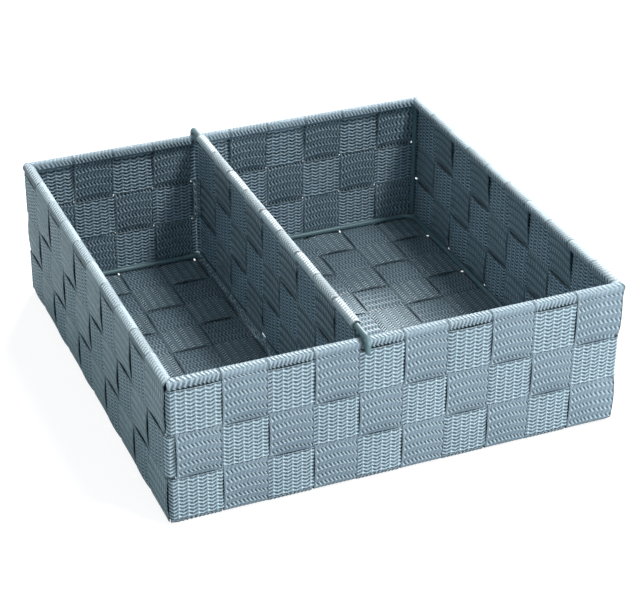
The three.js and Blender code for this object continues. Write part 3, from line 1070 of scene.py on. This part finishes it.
# %% Wires of the basket
RIM_CORNER_RADIUS = 3.7
RING_CORNER_RADIUS = 10.38
SIDE_SHARES = (0.02, 0.3, 0.7, 0.98)
POST_LEVELS = (3.2, 30, 60, 90, 101.5)
CORNERS = {"front_left": (-1, -1), "front_right": (1, -1), "back_right": (1, 1), "back_left": (-1, 1)}


def square_ring(half, corner_radius, level):
    """Points of a square with round corners: an arc and then a straight side, four times."""
    points = []
    side = 2 * (half - corner_radius)
    for corner in range(4):
        turn = 90 * corner
        centre = turned((0, 0), (half - corner_radius) * math.sqrt(2), turn - 45)
        points += wrap(centre, corner_radius, turn - 90, turn, 5)
        start = Vector(turned(centre, corner_radius, turn))
        points += [turned(start, side * share, turn + 90) for share in SIDE_SHARES]
    return [(x, y, level) for x, y in points]


make_wire("rim_wire", square_ring(ROLL_PLACE, RIM_CORNER_RADIUS, ROLL_HEIGHT), "basket", closed=True)
make_wire("floor_ring_wire", square_ring(POST_HALF, RING_CORNER_RADIUS, RING_HEIGHT), "basket", closed=True)
for corner, (side_x, side_y) in CORNERS.items():
    points = [(side_x * POST_HALF, side_y * POST_HALF, level) for level in POST_LEVELS]
    make_wire(f"corner_post_{corner}", points, "basket")
print(2 + len(CORNERS), "wires in the basket")

# %% [markdown]
# The divider's top wire lies across both rims and turns down outside them as two hooks. Its lower wire is
# a U whose ends meet the top wire from below. Both are mirrored, so only half of each is a list of
# points.

# %% Wires of the divider
HOOK_HALF = 162.5
HOOK_BEND = 4.0
HOOK_LEVELS = (99.0, 101.5, 104.0)
TOP_WIRE_PLACES = (154.0, 146.0, 100.0, 40.0)
LOWER_BEND = 6.0
LOWER_LEVELS = (109.5, 80, 40)
LOWER_PLACES = (-100, -40)

half = [(HOOK_HALF, level) for level in HOOK_LEVELS]
half += wrap((HOOK_HALF - HOOK_BEND, DIVIDER_TOP - HOOK_BEND), HOOK_BEND, 0, 90, 4)
half += [(place, DIVIDER_TOP) for place in TOP_WIRE_PLACES]
top_wire = [(-place, level) for place, level in half] + half[::-1]
make_wire("divider_top_wire", [(DIVIDER_X, place, level) for place, level in top_wire], "divider")

half = [(-DIVIDER_SIDE, level) for level in LOWER_LEVELS]
half += wrap((LOWER_BEND - DIVIDER_SIDE, DIVIDER_BOTTOM + LOWER_BEND), LOWER_BEND, 180, 270, 4)
half += [(place, DIVIDER_BOTTOM) for place in LOWER_PLACES]
lower_wire = half + [(-place, level) for place, level in half[::-1]]
make_wire("divider_lower_wire", [(DIVIDER_X, place, level) for place, level in lower_wire], "divider")
print("2 wires in the divider")

# %% [markdown]
# The floor is a plain pale sheet that keeps the shadow of the bin. It glows for the camera only, most of
# all far away, where it turns to white.

# %% Floor
FLOOR_HALF = 4
FLOOR_GREY = (0.4, 0.4, 0.4, 1)
NEAR_GLOW = 0.88
FAR_GLOW = 0.12
GLOW_DISTANCES = (0.6, 1.6)


def floor_material():
    material, tree = new_material("pale floor")
    seen = tree.add("ShaderNodeLightPath")["Is Camera Ray"]
    place = tree.add("ShaderNodeTexCoord")["Object"]
    far = vector_math(tree, "LENGTH", place).rise(*GLOW_DISTANCES)
    cloth = tree.add("ShaderNodeBsdfDiffuse", None, {"Color": FLOOR_GREY})[0]
    sockets = {"Color": (1, 1, 1, 1), "Strength": seen * (NEAR_GLOW + FAR_GLOW * far)}
    glow = tree.add("ShaderNodeEmission", None, sockets)[0]
    both = tree.add("ShaderNodeAddShader", None, {0: cloth, 1: glow})[0]
    tree.add("ShaderNodeOutputMaterial", None, {"Surface": both})
    return material


corners = [(x * FLOOR_HALF, y * FLOOR_HALF, 0) for x, y in ((-1, -1), (1, -1), (1, 1), (-1, 1))]
floor_mesh = bpy.data.meshes.new("floor")
floor_mesh.from_pydata(corners, [], [(0, 1, 2, 3)])
floor_mesh.materials.append(floor_material())
floor = bpy.data.objects.new("floor", floor_mesh)
bpy.context.scene.collection.objects.link(floor)
print("floor", 2 * FLOOR_HALF, "m wide")

# %% [markdown]
# A low light from the front right lights the outer walls and leaves the inside in shade. A small light
# high in front rakes down the inner walls. A weak cool light shows the left wall. A strong light from
# behind on the right puts the bright line on the rolled rims. The world is white for the camera and in
# reflections, and only a weak bluish fill for everything else.

# %% Lights and world
AIM = (0, 0, 0.1)
LOW_AIM = (0, 0, 0.05)
WHITE = (1, 1, 1)
COOL = (0.83, 1, 1)
FILL_TINT = (0.87, 0.98, 1.06, 1)
FILL_STRENGTH = 0.19


def add_area_light(name, place, target, width, height, power, colour=WHITE):
    light = bpy.data.lights.new(name, "AREA")
    light.shape = "RECTANGLE"
    light.size = width
    light.size_y = height
    light.energy = power
    light.color = colour
    lamp = bpy.data.objects.new(name, light)
    towards = Vector(target) - Vector(place)
    lamp.matrix_world = Matrix.Translation(place) @ towards.to_track_quat("-Z", "Y").to_matrix().to_4x4()
    lamp.visible_camera = False
    bpy.context.scene.collection.objects.link(lamp)


add_area_light("low front light", (0.9, -1.7, 0.12), AIM, width=1.6, height=0.2, power=32.0)
add_area_light("high front light", (0.7, -1.0, 2.0), LOW_AIM, width=0.4, height=0.4, power=26.0)
add_area_light("left light", (-2.3, -0.3, 0.15), AIM, width=1.5, height=0.2, power=10.2, colour=COOL)
add_area_light("back light", (1.2, 1.6, 1.6), AIM, width=1.0, height=0.5, power=90.0)

world = bpy.data.worlds.new("studio")
world.use_nodes = True
world.node_tree.nodes.clear()
sky = Tree(world.node_tree)
ray = sky.add("ShaderNodeLightPath")
seen = ray["Is Camera Ray"].at_least(ray["Is Glossy Ray"]).at_least(ray["Is Transmission Ray"])
tint = mixed_colour(sky, seen, FILL_TINT, (*WHITE, 1))
sockets = {"Color": tint, "Strength": FILL_STRENGTH + (1 - FILL_STRENGTH) * seen}
light = sky.add("ShaderNodeBackground", None, sockets)[0]
sky.add("ShaderNodeOutputWorld", None, {"Surface": light})
bpy.context.scene.world = world
